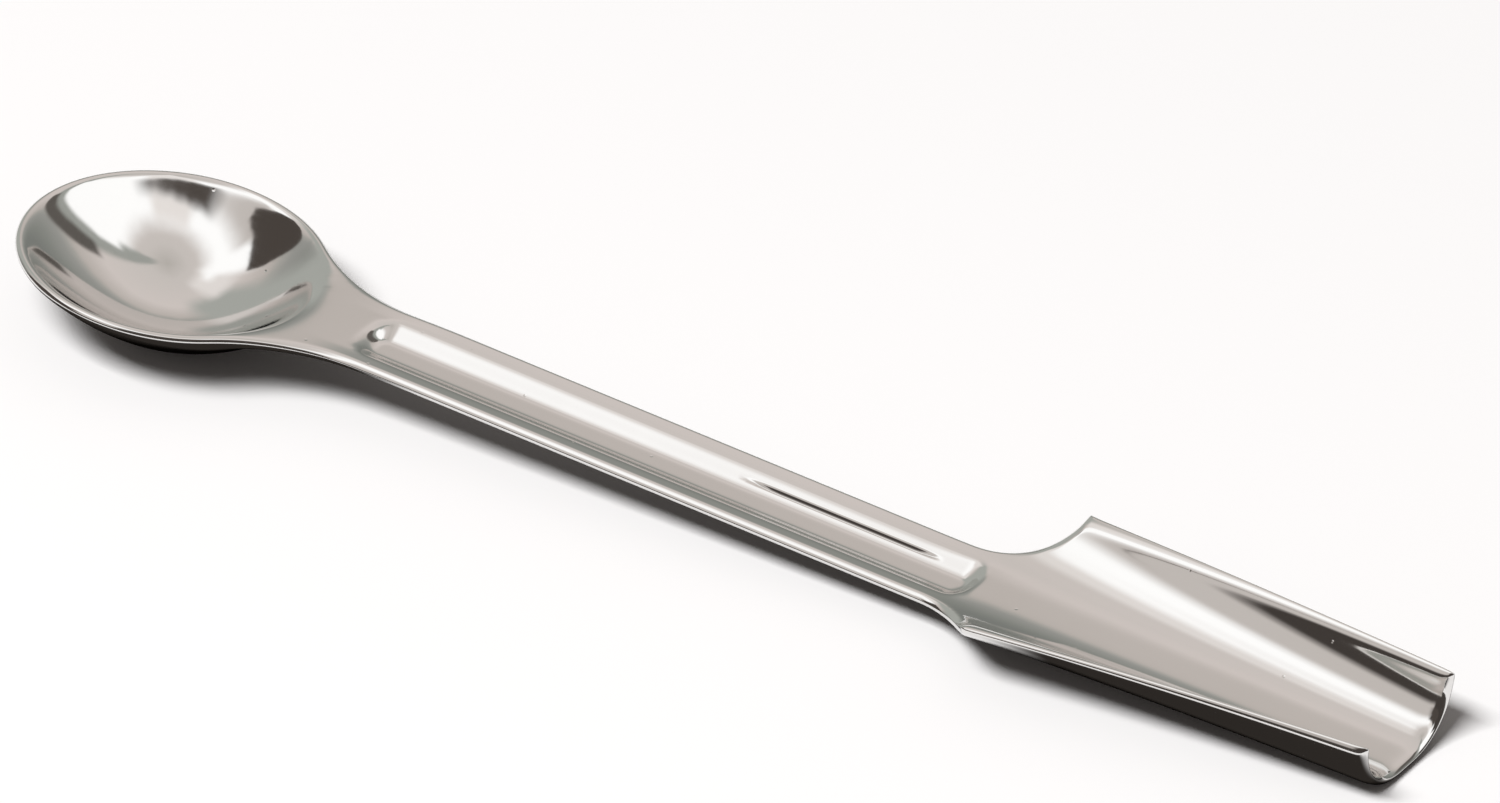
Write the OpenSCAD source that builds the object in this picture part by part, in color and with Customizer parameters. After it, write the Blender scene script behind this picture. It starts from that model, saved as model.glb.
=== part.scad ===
// Lab spatula: a spoon bowl at one end, a grooved flat shank and a rolled trough at the
// other end, cut and pressed from one stainless sheet. Millimetres, +Z up, +X towards the
// trough. It lies as it rests on a bench, on the bottom of the bowl and on the end of the
// trough. The origin is on the bench, under the middle of the part.

/* [Sheet] */
// Length over both ends, measured along the shank
total_l = 150; // [125:1:210]
// Thickness of the sheet
sheet_t = 1.2; // [0.9:0.1:1.5]
// Rounding of the cut edges, as a share of the sheet's thickness
edge_share = 0.42; // [0.2:0.02:0.46]

/* [Bowl] */
// Length of the bowl's oval
bowl_l = 31; // [28:0.5:34]
// Width of the bowl's oval
bowl_w = 26.8; // [24:0.2:29]
// Depth of the bowl below its rim
bowl_depth = 7; // [5:0.1:9]
// Width of the flat ground on the rim
rim_w = 1; // [0.8:0.1:1.4]

/* [Shank] */
// Width of the shank
shank_w = 10.2; // [9.6:0.1:11]
// Where the neck leaves the oval, in degrees from its long axis
neck_turn = 47; // [42:1:54]
// From the bowl's tip to the start of the groove
groove_start = 36.8; // [35:0.1:45]
// From the end of the groove to the shoulder of the trough
groove_stop = 5.2; // [4:0.1:9]
// Width of the groove
groove_w = 6.4; // [5.6:0.1:7.2]
// Width of the groove's flat floor
groove_floor = 2.2; // [1.6:0.1:2.8]
// Depth of the groove
groove_depth = 1.1; // [0.6:0.1:1.4]
// How far the shank's sides are turned up beside the groove, in degrees
side_turn = 10; // [4:1:14]

/* [Trough] */
// Length of the trough from its shoulders to its end
trough_l = 41; // [34:0.5:50]
// Width of the flat sheet at the shoulders, before rolling
shoulder_w = 21.8; // [20.6:0.1:23]
// Width of the flat sheet at the end, before rolling
end_w = 20; // [18:0.1:21.6]
// Width of the flat left along the middle of the trough
trough_flat = 2.6; // [1.6:0.1:3.6]
// Radius between the shank and a shoulder
shoulder_r = 9.1; // [8:0.1:11]
// How far each side is rolled up at the shoulders, in degrees
shoulder_curl = 46; // [36:1:56]
// How far each side is rolled up at the end, in degrees
end_curl = 92; // [78:1:98]
// Length over which the flat shank passes into the rolled trough
curl_run = 12; // [9:0.5:18]

/* [Hidden] */

// Rounding of the cut edges
edge_r = edge_share * sheet_t;

// Half sizes of the blank
bowl_a = bowl_l / 2;
bowl_b = bowl_w / 2;
shank_h = shank_w / 2;
shoulder_h = shoulder_w / 2;
end_h = end_w / 2;
flat_h = trough_flat / 2;

// Neck arc that touches the oval and the shank
join_turn = 180 - neck_turn;
join = bowl_rim(join_turn, 0);
join_out = bowl_out(join_turn);
neck_r = (join.y - shank_h) / (1 - join_out.y);
neck_c = join + neck_r * join_out;
neck_from = atan2(-join_out.y, -join_out.x);
neck_to = -90;

// Shoulder arc that touches the shank and ends in a corner
corner_x = total_l - trough_l;
shoulder_x = corner_x - shoulder_r * sin(corner_turn(0));
curl_x = corner_x - curl_run;
curl_rate = (end_curl - shoulder_curl) / trough_l;

// Straight part of the groove, between its blunt round ends
groove_h = groove_w / 2;
groove_wall = groove_h - groove_floor / 2;
groove_end_share = 0.6;
groove_from = groove_start + groove_end_share * groove_h;
groove_to = corner_x - groove_stop - groove_end_share * groove_h;

// The rib under the groove is wider than the groove by the sheet's thickness on a slope
rib_share = 0.25;
rib_more = rib_share * sheet_t;

// The groove's walls are nearly straight, with a little rounding at their top and foot
wall_round_share = 0.2;

// Outer edge of the bowl's rim, thinner than the sheet because its top is ground flat
lip_share = 0.4;
lip_t = lip_share * sheet_t;

// The rim's inner edge is crisp, and the bend into the neck is soft
rim_bend_share = 0.03;
neck_bend_share = 0.1;
neck_bend_from = bowl_a + bowl_a * cos(neck_turn);
neck_bend_to = bowl_l;

// Grid over the sheet: rows along each stretch and columns across it
bowl_rows = 26;
neck_rows = 16;
shank_rows = 24;
shoulder_rows = 16;
trough_rows = 24;
columns = 24;
front_turn = 60;
neck_ease = 1.5;
least_curl = 0.01;
ground_power = 3;

function mix(a, b, f) = a + (b - a) * f;
function ease(f) = let (c = max(0, min(1, f))) c * c * (3 - 2 * c);
function ease_between(a, b, x) = ease((x - a) / (b - a));

// Blank outline, one half. Each edge can be moved inwards by an inset.
function bowl_out(turn) =
    let (v = [-bowl_b * cos(turn), bowl_a * sin(turn)])
    v / norm(v);
function bowl_rim(turn, inset) =
    [bowl_a - bowl_a * cos(turn), bowl_b * sin(turn)] - inset * bowl_out(turn);
function neck_edge(f, inset) =
    let (turn = mix(neck_from, neck_to, 1 - pow(1 - f, neck_ease)))
    neck_c + (neck_r + inset) * [cos(turn), sin(turn)];
function shank_edge(f, inset) = [mix(neck_c.x, shoulder_x, ease(f)), shank_h - inset];
function corner_turn(inset) =
    acos((shank_h + shoulder_r - shoulder_h + inset) / (shoulder_r + inset));
function shoulder_edge(f, inset) =
    let (turn = f * corner_turn(inset), r = shoulder_r + inset)
    [shoulder_x + r * sin(turn), shank_h + shoulder_r - r * cos(turn)];
function trough_edge(f, inset) =
    let (x = mix(shoulder_edge(1, inset).x, total_l - inset, f))
    [x, flap_h(x) - inset];
function flap_h(x) = mix(shoulder_h, end_h, max(0, (x - corner_x) / trough_l));

// Rows of the grid, each as a stretch and how far along it
rows = concat(
    [for (i = [0 : bowl_rows]) ["bowl", i / bowl_rows]],
    [for (i = [1 : neck_rows]) ["neck", i / neck_rows]],
    [for (i = [1 : shank_rows]) ["shank", i / shank_rows]],
    [for (i = [1 : shoulder_rows]) ["shoulder", i / shoulder_rows]],
    [for (i = [1 : trough_rows]) ["trough", i / trough_rows]]
);
last_row = len(rows) - 1;

function row_end(row, inset) =
    row[0] == "bowl" ? bowl_rim(mix(front_turn, join_turn, row[1]), inset) :
    row[0] == "neck" ? neck_edge(row[1], inset) :
    row[0] == "shank" ? shank_edge(row[1], inset) :
    row[0] == "shoulder" ? shoulder_edge(row[1], inset) :
    trough_edge(row[1], inset);

// A row runs straight across the blank. In the bowl it bows forward to follow the tip.
function blank_point(row, across, inset) =
    let (
        p = row_end(row, inset),
        bow = row[0] == "bowl" ? 1 - row[1] : 0,
        front = bowl_rim(across * front_turn, inset),
        front_end = bowl_rim(front_turn, inset)
    )
    [p.x - bow * (front_end.x - front.x), p.y * mix(across, front.y / front_end.y, bow)];

// Pressing: how deep the bowl and the groove lie under the flat sheet
function dished(q, bend) = (q + sqrt(q * q + bend * bend)) / (1 + sqrt(1 + bend * bend));
function bend_at(x) = mix(rim_bend_share, neck_bend_share, ease_between(neck_bend_from, neck_bend_to, x));
function dish(p, a, b) =
    dished(1 - pow((p.x - bowl_a) / a, 2) - pow(p.y / b, 2), bend_at(p.x));
function groove(p, more) =
    let (
        d = norm([max(0, groove_from - p.x, p.x - groove_to) / groove_end_share, p.y]),
        q = max(0, min(1, (groove_h + more - d) / groove_wall))
    )
    groove_depth * mix(q, ease(q), wall_round_share);
function side_lift(p) =
    tan(side_turn) * max(0, abs(p.y) - groove_h) *
    ease_between(bowl_l, groove_from + groove_w, p.x) * (1 - ease_between(curl_x, corner_x, p.x));
function top_level(p) =
    side_lift(p) - bowl_depth * dish(p, bowl_a - rim_w, bowl_b - rim_w) - groove(p, 0);
function under_level(p) =
    let (lip = mix(lip_t, sheet_t, ease_between(bowl_a, bowl_l, p.x)))
    side_lift(p) - lip - (bowl_depth + sheet_t - lip) * dish(p, bowl_a, bowl_b) - groove(p, rib_more);

// Rolling: the sheet turns up on both sides of a flat middle, more and more towards the end
function curl(x) =
    let (f = (x - curl_x) / curl_run)
    f <= 0 ? 0 :
    f >= 1 ? shoulder_curl + curl_rate * (x - corner_x) :
    shoulder_curl * ease(f) + curl_rate * curl_run * f * f * (f - 1);
function rolled(p, level) =
    let (c = curl(p.x))
    c < least_curl ? [p.x, p.y, level] :
    let (
        bent = flap_h(p.x) - flat_h,
        r = bent * 180 / (c * PI),
        turn = c * max(0, abs(p.y) - flat_h) / bent,
        y = min(abs(p.y), flat_h) + (r - level) * sin(turn)
    )
    [p.x, sign(p.y) * y, r - (r - level) * cos(turn)];

// The trough's rims are ground level, so the outer wall reaches further up than the inner one
function ground(row) =
    row[0] == "trough" ? 1 :
    row[0] == "shoulder" ? pow(row[1], ground_power) : 0;
function rim_reach(row) =
    let (p = row_end(row, 0), c = curl(p.x))
    ground(row) * c < least_curl ? 0 :
    let (
        bent = flap_h(p.x) - flat_h,
        r = bent * 180 / (c * PI),
        turn = c * (p.y - flat_h) / bent
    )
    ground(row) * bent * (acos(r * cos(turn) / (r + sheet_t)) - turn) / c;
function stretched(row, across, inset, reach) =
    let (p = blank_point(row, across, inset))
    [p.x, p.y * (1 + reach / row_end(row, inset).y)];

// The rim's flat follows the oval and fades out along the neck
function rim_part(row) =
    row[0] == "bowl" ? 1 :
    row[0] == "neck" ? 1 - ease(row[1]) : 0;
function column(j) = 2 * j / columns - 1;

// Points of the upper face, the lower face and the two lines round the cut edge
top_points = [for (row = rows, j = [0 : columns])
    let (p = blank_point(row, column(j), mix(edge_r, rim_w, rim_part(row))))
    rolled(p, top_level(p))];
under_points = [for (row = rows, j = [0 : columns])
    let (p = stretched(row, column(j), edge_r, rim_reach(row)))
    rolled(p, under_level(p))];
round_trip = concat(
    [for (k = [0 : last_row]) [k, 0]],
    [for (j = [1 : columns]) [last_row, j]],
    [for (k = [last_row - 1 : -1 : 0]) [k, columns]],
    [for (j = [columns - 1 : -1 : 1]) [0, j]]
);
upper_line = [for (c = round_trip)
    let (
        row = rows[c.x], f = rim_part(row), reach = rim_reach(row), u = edge_r / norm([reach, sheet_t]),
        p = stretched(row, column(c.y), f * edge_r, u * reach)
    )
    rolled(p, side_lift(p) + (f - 1) * u * sheet_t)];
lower_line = [for (c = round_trip)
    let (
        row = rows[c.x], f = rim_part(row), reach = rim_reach(row), u = edge_r / norm([reach, sheet_t]),
        p = stretched(row, column(c.y), 0, (1 - u) * reach)
    )
    rolled(p, side_lift(p) + mix((u - 1) * sheet_t, -edge_r, f))];
points = concat(top_points, under_points, upper_line, lower_line);

// Triangles of both faces and of the cut edge between them
face_count = len(top_points);
trip_count = len(round_trip);
function cell(k, j) = k * (columns + 1) + j;
top_faces = [for (k = [0 : last_row - 1], j = [0 : columns - 1], half = [0, 1])
    half == 0 ? [cell(k, j), cell(k, j + 1), cell(k + 1, j + 1)] :
    [cell(k, j), cell(k + 1, j + 1), cell(k + 1, j)]];
under_faces = [for (f = top_faces) [f[0] + face_count, f[2] + face_count, f[1] + face_count]];
top_ring = [for (c = round_trip) cell(c.x, c.y)];
under_ring = [for (i = top_ring) i + face_count];
upper_ring = [for (i = [0 : trip_count - 1]) 2 * face_count + i];
lower_ring = [for (i = upper_ring) i + trip_count];
function strip(a, b) = [for (i = [0 : trip_count - 1], half = [0, 1])
    let (n = (i + 1) % trip_count)
    half == 0 ? [a[i], a[n], b[n]] : [a[i], b[n], b[i]]];
faces = concat(
    top_faces,
    under_faces,
    strip(top_ring, upper_ring),
    strip(upper_ring, lower_ring),
    strip(lower_ring, under_ring)
);

// Rest on the bench: the line that touches the bowl's underside and the trough's lower end
rest_run = total_l - edge_r - bowl_a;
bowl_round = (bowl_depth + sheet_t - lip_t) / pow(bowl_a, 2);
rest_slope = 2 * bowl_round * (rest_run - sqrt(pow(rest_run, 2) - bowl_depth / bowl_round));
rest_turn = atan(rest_slope);
rest_x = [for (p = points) p.x * cos(rest_turn) + p.z * sin(rest_turn)];
rest_z = [for (p = points) p.z * cos(rest_turn) - p.x * sin(rest_turn)];

module spatula() {
    color([0.78, 0.77, 0.76])
        translate([-(min(rest_x) + max(rest_x)) / 2, 0, -min(rest_z)])
            rotate([0, rest_turn, 0])
                polyhedron(points = points, faces = faces, convexity = 6);
}

spatula();
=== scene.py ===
import math

import bpy
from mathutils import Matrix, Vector


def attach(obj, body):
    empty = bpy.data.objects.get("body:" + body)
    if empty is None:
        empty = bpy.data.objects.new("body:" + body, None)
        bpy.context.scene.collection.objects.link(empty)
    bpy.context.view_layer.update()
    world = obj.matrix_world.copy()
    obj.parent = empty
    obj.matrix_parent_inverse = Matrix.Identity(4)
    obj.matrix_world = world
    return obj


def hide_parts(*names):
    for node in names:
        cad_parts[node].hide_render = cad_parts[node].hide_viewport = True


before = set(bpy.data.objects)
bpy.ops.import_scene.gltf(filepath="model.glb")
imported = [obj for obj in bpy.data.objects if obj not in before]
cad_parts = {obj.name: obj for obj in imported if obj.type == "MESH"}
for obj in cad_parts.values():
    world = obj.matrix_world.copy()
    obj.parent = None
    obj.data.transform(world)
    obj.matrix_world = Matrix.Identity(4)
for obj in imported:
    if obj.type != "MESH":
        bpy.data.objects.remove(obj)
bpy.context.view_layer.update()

# Spatula.
# One stainless sheet, cut to its outline, pressed into a spoon bowl and a grooved shank, rolled into
# a trough at the other end, and then tumbled and polished all over with its edges rounded.
bpy.ops.object.select_all(action="DESELECT")
cad_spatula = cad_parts["spatula"]
cad_spatula.select_set(True)
bpy.context.view_layer.objects.active = cad_spatula
bpy.ops.object.duplicate()
spatula = bpy.context.object
spatula.name = "polished_spatula"

merge_gap = 1e-6
cell_bend = math.radians(30)
corner_reach, corner_crease = 0.00095, 0.9
bpy.ops.object.mode_set(mode="EDIT")
bpy.ops.mesh.select_all(action="SELECT")
bpy.ops.mesh.remove_doubles(threshold=merge_gap)
bpy.ops.mesh.tris_convert_to_quads(face_threshold=cell_bend, shape_threshold=math.pi)
bpy.ops.mesh.select_mode(type="EDGE")
bpy.ops.mesh.select_all(action="DESELECT")
bpy.ops.object.mode_set(mode="OBJECT")
# The trough keeps its corners: the widest spots at its shoulders and the highest at its open end
spots = [spatula.matrix_world @ vertex.co for vertex in spatula.data.vertices]
spots = [Vector((spot.x, abs(spot.y), spot.z)) for spot in spots]
shoulder_corner = max((spot for spot in spots if spot.x > 0), key=lambda spot: spot.y)
end_corner = max(spots, key=lambda spot: spot.x + spot.z)
for edge in spatula.data.edges:
    ends = [spots[index] for index in edge.vertices]
    edge.select = any(
        all((end - corner).length < corner_reach for end in ends)
        for corner in (shoulder_corner, end_corner)
    )
bpy.ops.object.mode_set(mode="EDIT")
bpy.ops.transform.edge_crease(value=corner_crease)
bpy.ops.object.mode_set(mode="OBJECT")
bpy.ops.object.shade_smooth()

rounding_level = 2
rounding = spatula.modifiers.new("rounding", "SUBSURF")
rounding.levels = rounding_level
rounding.render_levels = rounding_level
bpy.ops.object.modifier_apply(modifier=rounding.name)

# A fine line that the press leaves in the groove's far wall, towards the trough, dying out at both ends
line_start, line_end, line_fade = 0.0025, 0.0235, 0.0025
line_place = 0.00205
line_half_width, line_depth = 0.00022, 0.0004
upper_face = [vertex for vertex in spatula.data.vertices if vertex.normal.z > 0]
for vertex in upper_face:
    spot = spatula.matrix_world @ vertex.co
    aside = abs(spot.y - line_place) / line_half_width
    inside = min(spot.x - line_start, line_end - spot.x) / line_fade
    if aside < 1 and inside > 0:
        vertex.co.z -= line_depth * (1 - aside) * min(1, inside)


def linear(hex_colour):
    """An sRGB hex colour as linear red, green, blue and alpha."""
    parts = [int(hex_colour[i : i + 2], 16) / 255 for i in (1, 3, 5)]
    return [c / 12.92 if c <= 0.04045 else ((c + 0.055) / 1.055) ** 2.4 for c in parts] + [1]


def add_node(tree, kind, settings, **inputs):
    """Adds a node, sets its settings, and fills or links its inputs, named as in the editor."""
    node = tree.nodes.new(kind)
    for name, value in settings.items():
        setattr(node, name, value)
    for name, value in inputs.items():
        key = int(name[1:]) if name[1:].isdigit() else name.replace("_", " ")
        if isinstance(value, bpy.types.NodeSocket):
            tree.links.new(value, node.inputs[key])
        else:
            node.inputs[key].default_value = value
    return node


# Stainless steel, tumbled and polished: a near mirror with a faint waviness left by the press, short
# polishing marks along the tool and a few tiny pits, so reflections are bright but not quite sharp.
# The polishing marks are drawn coarser than real ones, so that they show.
tint_size = 0.02
wave_size, wave_height = 0.004, 0.000005
mark_size = (0.006, 0.0004, 0.0004)
smoothest, roughest = 0.04, 0.11
pit_spacing, pit_size, pit_depth = 0.003, 0.0002, 0.00003
steel = bpy.data.materials.new("polished_stainless_steel")
steel.use_nodes = True
tree = steel.node_tree
shader = tree.nodes["Principled BSDF"]
shader.inputs["Metallic"].default_value = 1
place = add_node(tree, "ShaderNodeTexCoord", {}).outputs["Object"]
tint = add_node(tree, "ShaderNodeTexNoise", {}, Vector=place, Scale=1 / tint_size, Detail=2.0)
colour = add_node(
    tree, "ShaderNodeMix", {"data_type": "RGBA"},
    _0=tint.outputs[0], _6=linear("#E7E6E5"), _7=linear("#E1E0DE"),
)
along = add_node(tree, "ShaderNodeMapping", {}, Vector=place, Scale=[1 / size for size in mark_size])
marks = add_node(tree, "ShaderNodeTexNoise", {}, Vector=along.outputs[0], Scale=1.0, Detail=3.0)
gloss = add_node(
    tree, "ShaderNodeMapRange", {}, Value=marks.outputs[0], To_Min=smoothest, To_Max=roughest
)
waves = add_node(tree, "ShaderNodeTexNoise", {}, Vector=place, Scale=1 / wave_size, Detail=1.0)
wave = add_node(tree, "ShaderNodeMath", {"operation": "MULTIPLY"}, _0=waves.outputs[0], _1=wave_height)
pits = add_node(tree, "ShaderNodeTexVoronoi", {}, Vector=place, Scale=1 / pit_spacing)
pit = add_node(
    tree, "ShaderNodeMapRange", {"interpolation_type": "SMOOTHSTEP"},
    Value=pits.outputs["Distance"], From_Max=pit_size / pit_spacing, To_Min=-pit_depth, To_Max=0.0,
)
relief = add_node(tree, "ShaderNodeMath", {"operation": "ADD"}, _0=wave.outputs[0], _1=pit.outputs[0])
bump = add_node(tree, "ShaderNodeBump", {}, Height=relief.outputs[0], Distance=1.0)
tree.links.new(colour.outputs[2], shader.inputs["Base Color"])
tree.links.new(gloss.outputs[0], shader.inputs["Roughness"])
tree.links.new(bump.outputs[0], shader.inputs["Normal"])
spatula.data.materials.clear()
spatula.data.materials.append(steel)
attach(spatula, "root")
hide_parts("spatula")

# Floor.
# A wide sheet of matt white studio paper, flat under the tool, which takes the tool's shadow. The steel
# mirrors it white, but for a painted shadow: a dark strip beside the bowl and the trough that sets off
# their sides.
floor_size = 8
floor_gap = 0.00005
# Size of the painted shadow strip, seen only in the steel, beside the bowl and the trough
strip_start, strip_end, strip_width, strip_soft = 0.032, 0.075, 0.024, 0.008
strip_flare = 0.2
paper_roughness = 0.9
bpy.ops.object.select_all(action="DESELECT")
bpy.ops.mesh.primitive_plane_add(size=floor_size, location=(0, 0, -floor_gap))
floor = bpy.context.object
floor.name = "studio_paper"
paper = bpy.data.materials.new("white_paper_with_painted_shade")
paper.use_nodes = True
tree = paper.node_tree
paper_shader = tree.nodes["Principled BSDF"]
spot = add_node(tree, "ShaderNodeTexCoord", {}).outputs["Object"]
across = add_node(tree, "ShaderNodeSeparateXYZ", {}, Vector=spot)
along = add_node(tree, "ShaderNodeMath", {"operation": "ABSOLUTE"}, _0=across.outputs["X"]).outputs[0]
aside = add_node(tree, "ShaderNodeMath", {"operation": "ABSOLUTE"}, _0=across.outputs["Y"]).outputs[0]
aside = add_node(
    tree, "ShaderNodeMath", {"operation": "MULTIPLY_ADD"}, _0=along, _1=-strip_flare, _2=aside
).outputs[0]
far_off = 0.0
for distance, inside, outside in (
    (along, strip_start + strip_soft, strip_start),
    (along, strip_end, strip_end + strip_soft),
    (aside, strip_width / 2, strip_width / 2 + strip_soft),
):
    clear = add_node(
        tree, "ShaderNodeMapRange", {"interpolation_type": "SMOOTHSTEP"},
        Value=distance, From_Min=inside, From_Max=outside,
    )
    far_off = add_node(
        tree, "ShaderNodeMath", {"operation": "MAXIMUM"}, _0=far_off, _1=clear.outputs[0]
    ).outputs[0]
# Painted shade: light that comes back to the paper by way of the steel finds it dark, so the shadow stays
# deep
before_bounce = 0.5
path = add_node(tree, "ShaderNodeLightPath", {})
first_bounce = add_node(
    tree, "ShaderNodeMath", {"operation": "LESS_THAN"},
    _0=path.outputs["Diffuse Depth"], _1=before_bounce,
)
far_off = add_node(
    tree, "ShaderNodeMath", {"operation": "MULTIPLY"}, _0=far_off, _1=first_bounce.outputs[0]
).outputs[0]
mirrored = add_node(
    tree, "ShaderNodeMath", {"operation": "MULTIPLY"}, _0=path.outputs["Is Glossy Ray"], _1=far_off
)
white_part = add_node(
    tree, "ShaderNodeMath", {"operation": "MAXIMUM"},
    _0=path.outputs["Is Camera Ray"], _1=mirrored.outputs[0],
)
# Painted shade: the paper is white to the camera and to the steel outside the strip, and dark to every
# other ray
paper_white_or_painted_shade = add_node(
    tree, "ShaderNodeMix", {"data_type": "RGBA"},
    _0=white_part.outputs[0], _6=linear("#332F2C"), _7=linear("#FCFBFB"),
)
tree.links.new(paper_white_or_painted_shade.outputs[2], paper_shader.inputs["Base Color"])
paper_shader.inputs["Roughness"].default_value = paper_roughness
paper_shader.inputs["Specular IOR Level"].default_value = 0.0
floor.data.materials.append(paper)

# Softbox.
# One wide lamp behind a white cloth, in front of the tool and above it. It lights the paper and throws a
# shadow with soft edges back under the tool, so only its near part shows below the near edge.
lamp_distance = 3.0
lamp_turn, lamp_rise = math.radians(-8), math.radians(57)
lamp_width, lamp_height = 1.8, 0.8
lamp_power = 98
towards = Vector((
    math.sin(lamp_turn) * math.cos(lamp_rise),
    -math.cos(lamp_turn) * math.cos(lamp_rise),
    math.sin(lamp_rise),
))
softbox = bpy.data.lights.new("softbox", "AREA")
softbox.shape = "RECTANGLE"
softbox.size = lamp_width
softbox.size_y = lamp_height
softbox.energy = lamp_power
lamp = bpy.data.objects.new("softbox", softbox)
lamp.location = towards * lamp_distance
lamp.rotation_euler = towards.to_track_quat("Z", "Y").to_euler()
lamp.visible_camera = False
lamp.visible_glossy = False
bpy.context.scene.collection.objects.link(lamp)

# Studio around the tool.
# Pale walls, brighter with height, a long white light band in front with the dark room below it, and dark
# stands in its way. The steel mirrors all of it. The paper gets a soft fill, and the camera sees white.
studio = bpy.data.worlds.new("studio")
bpy.context.scene.world = studio
studio.use_nodes = True
tree = studio.node_tree
tree.nodes.clear()
wall_heights = (
    (-10, "#70726E"), (8, "#787A76"), (16, "#82847F"), (26, "#93938F"), (30, "#A2A09B"),
    (34, "#B6AFAA"), (48, "#CBC3BF"), (62, "#C8C1BD"), (78, "#C4BEBA"), (90, "#B2ADA8"),
)
# Each from left to right and from low to high, in degrees round the tool and up, then its soft edges
room_parts = (
    ("green_wall", -142, -90, -30, 60, 16, 16, "#A2A49F"),
    ("green_corner", 112, 148, 20, 88, 10, 10, "#989A95"),
    ("band_glow", -122, -60, 44, 76, 16, 10, "#DED9D6"),
    ("light_band", -88, 126, 34, 74, 12, 13, "#FFFFFF"),
    ("band_end", -100, -66, 57, 71, 16, 8, "#FFFFFF"),
    ("band_gap", -8, 52, 50, 72, 14, 10, "#E4DFDC"),
    ("dark_room", -84, 128, -40, 46, 2, 2, "#3F3A37"),
    ("side_light", 80, 132, 24, 66, 6, 6, "#FFFFFF"),
    ("gap_light", -64, -10, 20, 58, 9, 12, "#BFB9B5"),
    ("doorway", -84, -44, -40, 45, 1.5, 1.5, "#47413D"),
    ("lamp_stand", -27, 62, 30, 59, 20, 5, "#4A4440"),
    ("back_post", 135, 153, 12, 50, 5, 5, "#5A5652"),
)
edge_wander = 1.5
wander_size = 0.12
room_strength, fill_strength, backdrop_strength = 1.28, 0.45, 1.0
way = add_node(tree, "ShaderNodeTexCoord", {}).outputs["Generated"]
across = add_node(tree, "ShaderNodeSeparateXYZ", {}, Vector=way)
ahead = add_node(tree, "ShaderNodeMath", {"operation": "MULTIPLY"}, _0=across.outputs["Y"], _1=-1.0)
round_it = add_node(
    tree, "ShaderNodeMath", {"operation": "ARCTAN2"}, _0=across.outputs["X"], _1=ahead.outputs[0]
)
up_it = add_node(tree, "ShaderNodeMath", {"operation": "ARCSINE"}, _0=across.outputs["Z"])
turn = add_node(tree, "ShaderNodeMath", {"operation": "DEGREES"}, _0=round_it.outputs[0]).outputs[0]
rise = add_node(tree, "ShaderNodeMath", {"operation": "DEGREES"}, _0=up_it.outputs[0]).outputs[0]
bumps = add_node(tree, "ShaderNodeTexNoise", {}, Vector=way, Scale=1 / wander_size, Detail=1.0)
wander = add_node(
    tree, "ShaderNodeMapRange", {}, Value=bumps.outputs[0], To_Min=-edge_wander, To_Max=edge_wander
)
turn = add_node(tree, "ShaderNodeMath", {"operation": "ADD"}, _0=turn, _1=wander.outputs[0]).outputs[0]
rise = add_node(tree, "ShaderNodeMath", {"operation": "ADD"}, _0=rise, _1=wander.outputs[0]).outputs[0]
low_wall, high_wall = wall_heights[0][0], wall_heights[-1][0]
wall_part = add_node(tree, "ShaderNodeMapRange", {}, Value=rise, From_Min=low_wall, From_Max=high_wall)
wall = add_node(tree, "ShaderNodeValToRGB", {}, Fac=wall_part.outputs[0])
stops = wall.color_ramp.elements
while len(stops) < len(wall_heights):
    stops.new(1.0)
for stop, (wall_rise, wall_colour) in zip(stops, wall_heights):
    stop.position = (wall_rise - low_wall) / (high_wall - low_wall)
    stop.color = linear(wall_colour)
room = wall.outputs[0]
for name, left, right, low, high, side_edge, level_edge, part_colour in room_parts:
    cover = 1.0
    for angle, outside, inside in (
        (turn, left, left + side_edge),
        (turn, right, right - side_edge),
        (rise, low, low + level_edge),
        (rise, high, high - level_edge),
    ):
        side = add_node(
            tree, "ShaderNodeMapRange", {"interpolation_type": "SMOOTHSTEP"},
            Value=angle, From_Min=outside, From_Max=inside,
        )
        cover = add_node(
            tree, "ShaderNodeMath", {"operation": "MULTIPLY"}, _0=cover, _1=side.outputs[0]
        ).outputs[0]
    room = add_node(
        tree, "ShaderNodeMix", {"data_type": "RGBA", "label": name},
        _0=cover, _6=room, _7=linear(part_colour),
    ).outputs[2]
path = add_node(tree, "ShaderNodeLightPath", {})
seen_in_steel = add_node(tree, "ShaderNodeBackground", {}, Color=room, Strength=room_strength)
on_paper = add_node(tree, "ShaderNodeBackground", {}, Color=linear("#A6A19E"), Strength=fill_strength)
seen = add_node(tree, "ShaderNodeBackground", {}, Color=linear("#FFFFFF"), Strength=backdrop_strength)
lit = add_node(
    tree, "ShaderNodeMixShader", {},
    Fac=path.outputs["Is Glossy Ray"], _1=on_paper.outputs[0], _2=seen_in_steel.outputs[0],
)
both = add_node(
    tree, "ShaderNodeMixShader", {},
    Fac=path.outputs["Is Camera Ray"], _1=lit.outputs[0], _2=seen.outputs[0],
)
add_node(tree, "ShaderNodeOutputWorld", {}, Surface=both.outputs[0])

# Camera.
# A long lens, held level, looks down on the tool from its front right, so the bowl is at the upper left
# of the picture and the trough at the lower right.
view_turn, view_rise = math.radians(33.255), math.radians(33.089)
view_distance = 2.0
view_width = 0.13707
aim_right, aim_up = 0.003455, 0.010939
back = Vector((
    math.sin(view_turn) * math.cos(view_rise),
    -math.cos(view_turn) * math.cos(view_rise),
    math.sin(view_rise),
))
right = Vector((math.cos(view_turn), math.sin(view_turn), 0))
up = back.cross(right)
lens = bpy.data.cameras.new("camera")
lens.sensor_width = 36
lens.lens = lens.sensor_width * view_distance / view_width
lens.clip_end = 20
camera = bpy.data.objects.new("camera", lens)
camera.location = right * aim_right + up * aim_up + back * view_distance
camera.rotation_euler = back.to_track_quat("Z", "Y").to_euler()
bpy.context.scene.collection.objects.link(camera)
bpy.context.scene.camera = camera
bpy.context.scene.view_settings.view_transform = "Standard"
